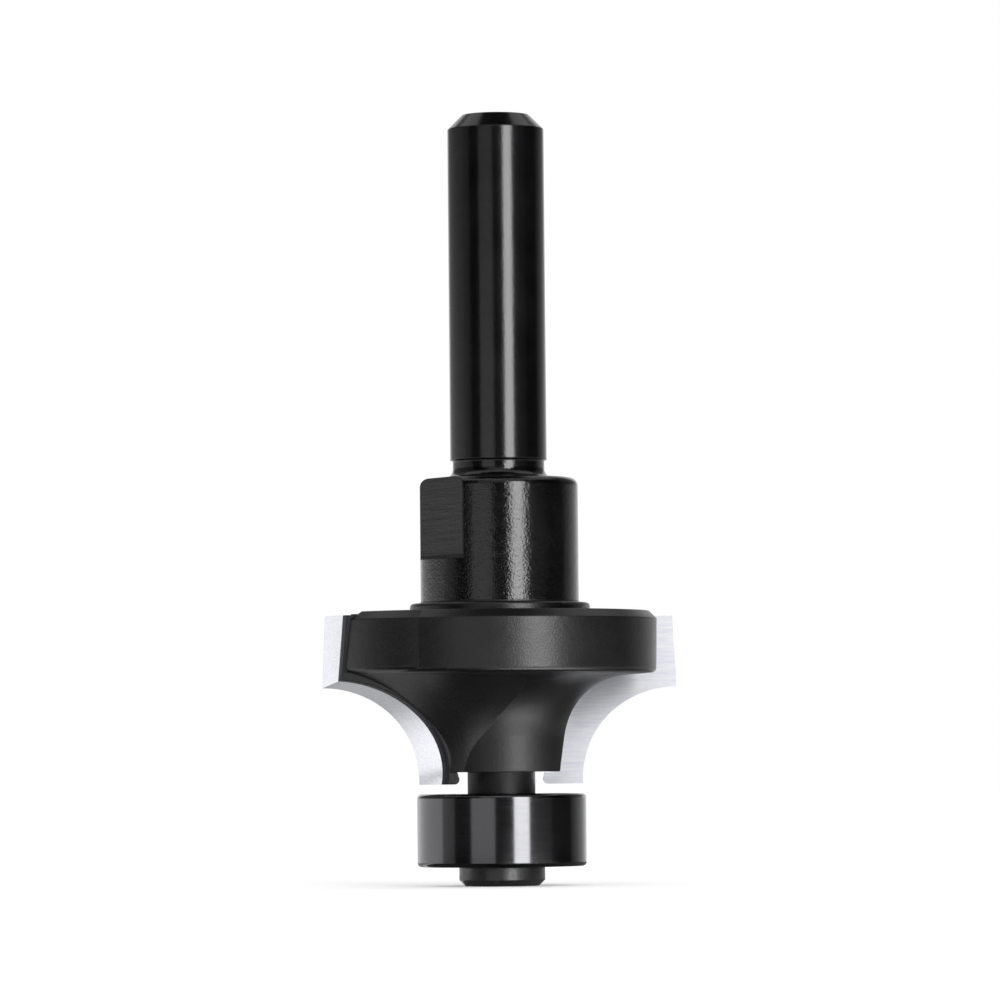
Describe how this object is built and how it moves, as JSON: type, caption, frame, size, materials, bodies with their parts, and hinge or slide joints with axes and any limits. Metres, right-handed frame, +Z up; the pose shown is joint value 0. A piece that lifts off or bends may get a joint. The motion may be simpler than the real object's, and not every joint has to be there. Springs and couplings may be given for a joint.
{
  "type": "router bit",
  "caption": "Round-over router bit: shank, collar with wrench flats, head with brazed carbide tips, and a ball-bearing guide held by a screw.",
  "frame": {"origin": "on the cutter's axis, at the lower face of the retaining screw that it stands on", "axes": "+Z up the axis towards the shank end; the two tips lie near +X and -X, the +X tip's rake face looks towards -Y"},
  "size_m": [0.0294, 0.026, 0.0639],
  "materials": {
    "coated_steel": "dark coated head, polished dark shank",
    "carbide": "ground carbide",
    "silver_solder": "satin",
    "bearing_steel": "polished",
    "ball_steel": "mirror polished",
    "pressed_sheet": "pressed sheet",
    "shield_sheet": "satin sheet",
    "black_oxide_steel": "black oxide"
  },
  "bodies": {
    "cutter": {"cutter_body": "coated_steel", "carbide_tip_1": "carbide", "carbide_tip_2": "carbide", "braze_1": "silver_solder", "braze_2": "silver_solder", "bearing_inner_ring": "bearing_steel", "retaining_screw": "black_oxide_steel"},
    "bearing_outer": {"bearing_outer_ring": "bearing_steel", "shield_upper": "shield_sheet", "shield_lower": "shield_sheet"},
    "bearing_cage": {"cage_upper": "pressed_sheet", "cage_lower": "pressed_sheet", "cage_rivets": "pressed_sheet", "ball_1": "ball_steel", "ball_2": "ball_steel", "ball_3": "ball_steel", "ball_4": "ball_steel", "ball_5": "ball_steel", "ball_6": "ball_steel", "ball_7": "ball_steel"}
  },
  "joints": [
    {"name": "bearing_spin", "type": "hinge", "parent": "cutter", "child": "bearing_outer", "pos_m": [0, 0, 0.0046], "axis": [0, 0, 1], "continuous": true},
    {"name": "cage_spin", "type": "hinge", "parent": "cutter", "child": "bearing_cage", "pos_m": [0, 0, 0.0046], "axis": [0, 0, 1], "continuous": true}
  ],
  "couplings": [
    {"joint": "cage_spin", "follows": "bearing_spin", "ratio": 0.6253}
  ]
}
